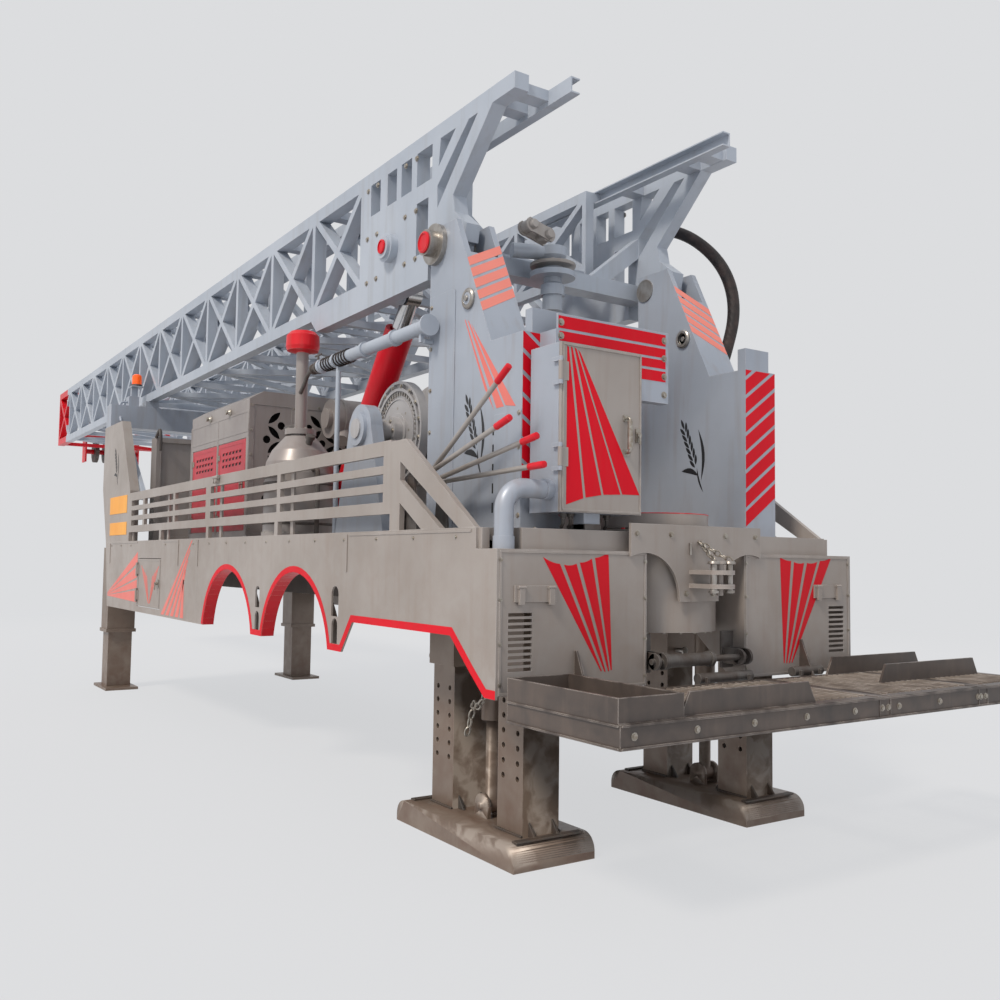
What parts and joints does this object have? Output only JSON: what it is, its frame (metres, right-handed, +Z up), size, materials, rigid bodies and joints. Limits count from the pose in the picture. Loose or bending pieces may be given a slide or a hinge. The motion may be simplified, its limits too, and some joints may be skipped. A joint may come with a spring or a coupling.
{
  "type": "trailer-mounted oil drilling rig, mast lowered for travel",
  "caption": "Mobile oil drilling rig on jacks: telescoping lattice mast lying over the deck, towers, drawworks, rotary table and work platform.",
  "frame": {"origin": "on the ground under the middle of the rig's box", "axes": "+X to the rear, where the rotary table and the work platform are; +Z up; +Y to the rig's right"},
  "size_m": [14.577, 3.073, 4.05],
  "materials": {
    "grey_paint": "satin",
    "red_paint": "satin",
    "dark_paint": "matt",
    "bare_steel": "worn",
    "rod_chrome": "polished",
    "cast_steel": "rough",
    "hose_rubber": "matt, dusty"
  },
  "bodies": {
    "rig": {"chassis_rails": "dark_paint", "deck_plate": "grey_paint", "left_side_skirt": "grey_paint", "right_side_skirt": "grey_paint", "left_front_column": "grey_paint", "right_front_column": "grey_paint", "mast_rest_beam": "grey_paint", "left_rear_cabinet": "grey_paint", "right_rear_cabinet": "grey_paint", "left_tower": "grey_paint", "right_tower": "grey_paint", "tower_trays": "grey_paint", "mast_pins": "red_paint", "rear_jack_sleeves": "grey_paint", "front_jack_sleeves": "grey_paint", "raising_brackets": "grey_paint", "rotary_housing": "grey_paint", "guard_plate": "grey_paint", "drawworks_stands": "grey_paint", "chain_case": "grey_paint", "engine_hood": "grey_paint", "side_houses": "grey_paint", "side_tanks": "grey_paint", "standpipes": "grey_paint", "delivery_hose": "hose_rubber", "control_cabinet": "grey_paint", "elbow_pipe": "grey_paint", "striped_guard": "red_paint", "lever_stand": "dark_paint", "left_guard_rail": "grey_paint", "right_guard_rail": "grey_paint", "platform_frame": "dark_paint", "platform_grating": "dark_paint", "platform_brackets": "dark_paint"},
    "mast": {"left_mast_side": "grey_paint", "right_mast_side": "grey_paint", "mast_lacing": "grey_paint", "mast_foot_beam": "grey_paint", "mast_fittings": "grey_paint"},
    "upper_mast": {"left_upper_mast_side": "grey_paint", "right_upper_mast_side": "grey_paint", "upper_mast_lacing": "grey_paint", "crown_frame": "red_paint", "crown_sheaves": "cast_steel"},
    "rotary": {"rotary_table": "bare_steel"},
    "drum": {"drawworks_drum": "cast_steel"},
    "cabinet_door": {"cabinet_door": "grey_paint"},
    "hatch": {"hatch_door": "grey_paint"},
    "lever_1": {"control_lever_1": "red_paint"},
    "lever_2": {"control_lever_2": "red_paint"},
    "lever_3": {"control_lever_3": "red_paint"},
    "lever_4": {"control_lever_4": "red_paint"},
    "left_barrel": {"left_raising_barrel": "red_paint"},
    "right_barrel": {"right_raising_barrel": "red_paint"},
    "left_rod": {"left_raising_rod": "rod_chrome"},
    "right_rod": {"right_raising_rod": "rod_chrome"},
    "left_rear_jack": {"left_rear_jack": "dark_paint"},
    "right_rear_jack": {"right_rear_jack": "dark_paint"},
    "left_front_jack": {"left_front_jack": "dark_paint"},
    "right_front_jack": {"right_front_jack": "dark_paint"}
  },
  "joints": [
    {"name": "mast_raise", "type": "hinge", "parent": "rig", "child": "mast", "pos_m": [5.2975, -0.2635, 3.26], "axis": [0, 1, 0], "range_deg": [0, 90]},
    {"name": "mast_extend", "type": "slide", "parent": "mast", "child": "upper_mast", "axis": [-1, 0, 0], "range_m": [0, 8]},
    {"name": "rotary_turn", "type": "hinge", "parent": "rig", "child": "rotary", "pos_m": [6.1165, -0.2635, 1.712], "axis": [0, 0, 1], "continuous": true},
    {"name": "drum_turn", "type": "hinge", "parent": "rig", "child": "drum", "pos_m": [4.6765, -0.2635, 2.25], "axis": [0, 1, 0], "continuous": true},
    {"name": "cabinet_door_swing", "type": "hinge", "parent": "rig", "child": "cabinet_door", "pos_m": [6.4525, -1.1695, 2.1], "axis": [0, 0, -1], "range_deg": [0, 95]},
    {"name": "hatch_swing", "type": "hinge", "parent": "rig", "child": "hatch", "pos_m": [0.0965, -1.5255, 1.2], "axis": [0, 0, -1], "range_deg": [0, 100]},
    {"name": "lever_1_pull", "type": "hinge", "parent": "rig", "child": "lever_1", "pos_m": [5.5475, -1.3885, 1.871], "axis": [0, 1, 0], "range_deg": [-15, 0]},
    {"name": "lever_2_pull", "type": "hinge", "parent": "rig", "child": "lever_2", "pos_m": [5.5475, -1.4285, 1.871], "axis": [0, 1, 0], "range_deg": [-15, 0]},
    {"name": "lever_3_pull", "type": "hinge", "parent": "rig", "child": "lever_3", "pos_m": [5.5475, -1.3485, 1.871], "axis": [0, 1, 0], "range_deg": [-15, 0]},
    {"name": "lever_4_pull", "type": "hinge", "parent": "rig", "child": "lever_4", "pos_m": [5.5475, -1.3085, 1.871], "axis": [0, 1, 0], "range_deg": [-15, 0]},
    {"name": "left_cylinder_tilt", "type": "hinge", "parent": "rig", "child": "left_barrel", "pos_m": [3.3265, -0.8635, 1.76], "axis": [0, 1, 0], "range_deg": [0, 2.46]},
    {"name": "left_cylinder_stroke", "type": "slide", "parent": "left_barrel", "child": "left_rod", "axis": [0.5924, 0, 0.8056], "range_m": [0, 1.274]},
    {"name": "right_cylinder_tilt", "type": "hinge", "parent": "rig", "child": "right_barrel", "pos_m": [3.3265, 0.3365, 1.76], "axis": [0, 1, 0], "range_deg": [0, 2.46]},
    {"name": "right_cylinder_stroke", "type": "slide", "parent": "right_barrel", "child": "right_rod", "axis": [0.5924, 0, 0.8056], "range_m": [0, 1.274]},
    {"name": "left_rear_jack_lift", "type": "slide", "parent": "rig", "child": "left_rear_jack", "axis": [0, 0, 1], "range_m": [0, 0.33]},
    {"name": "left_front_jack_lift", "type": "slide", "parent": "rig", "child": "left_front_jack", "axis": [0, 0, 1], "range_m": [0, 0.33]},
    {"name": "right_rear_jack_lift", "type": "slide", "parent": "rig", "child": "right_rear_jack", "axis": [0, 0, 1], "range_m": [0, 0.33]},
    {"name": "right_front_jack_lift", "type": "slide", "parent": "rig", "child": "right_front_jack", "axis": [0, 0, 1], "range_m": [0, 0.33]}
  ],
  "couplings": [
    {"joint": "left_cylinder_tilt", "follows": "mast_raise", "ratio": 0.02672},
    {"joint": "left_cylinder_stroke", "follows": "mast_raise", "m_per_rad": 0.80975},
    {"joint": "right_cylinder_tilt", "follows": "mast_raise", "ratio": 0.02672},
    {"joint": "right_cylinder_stroke", "follows": "mast_raise", "m_per_rad": 0.80975}
  ]
}
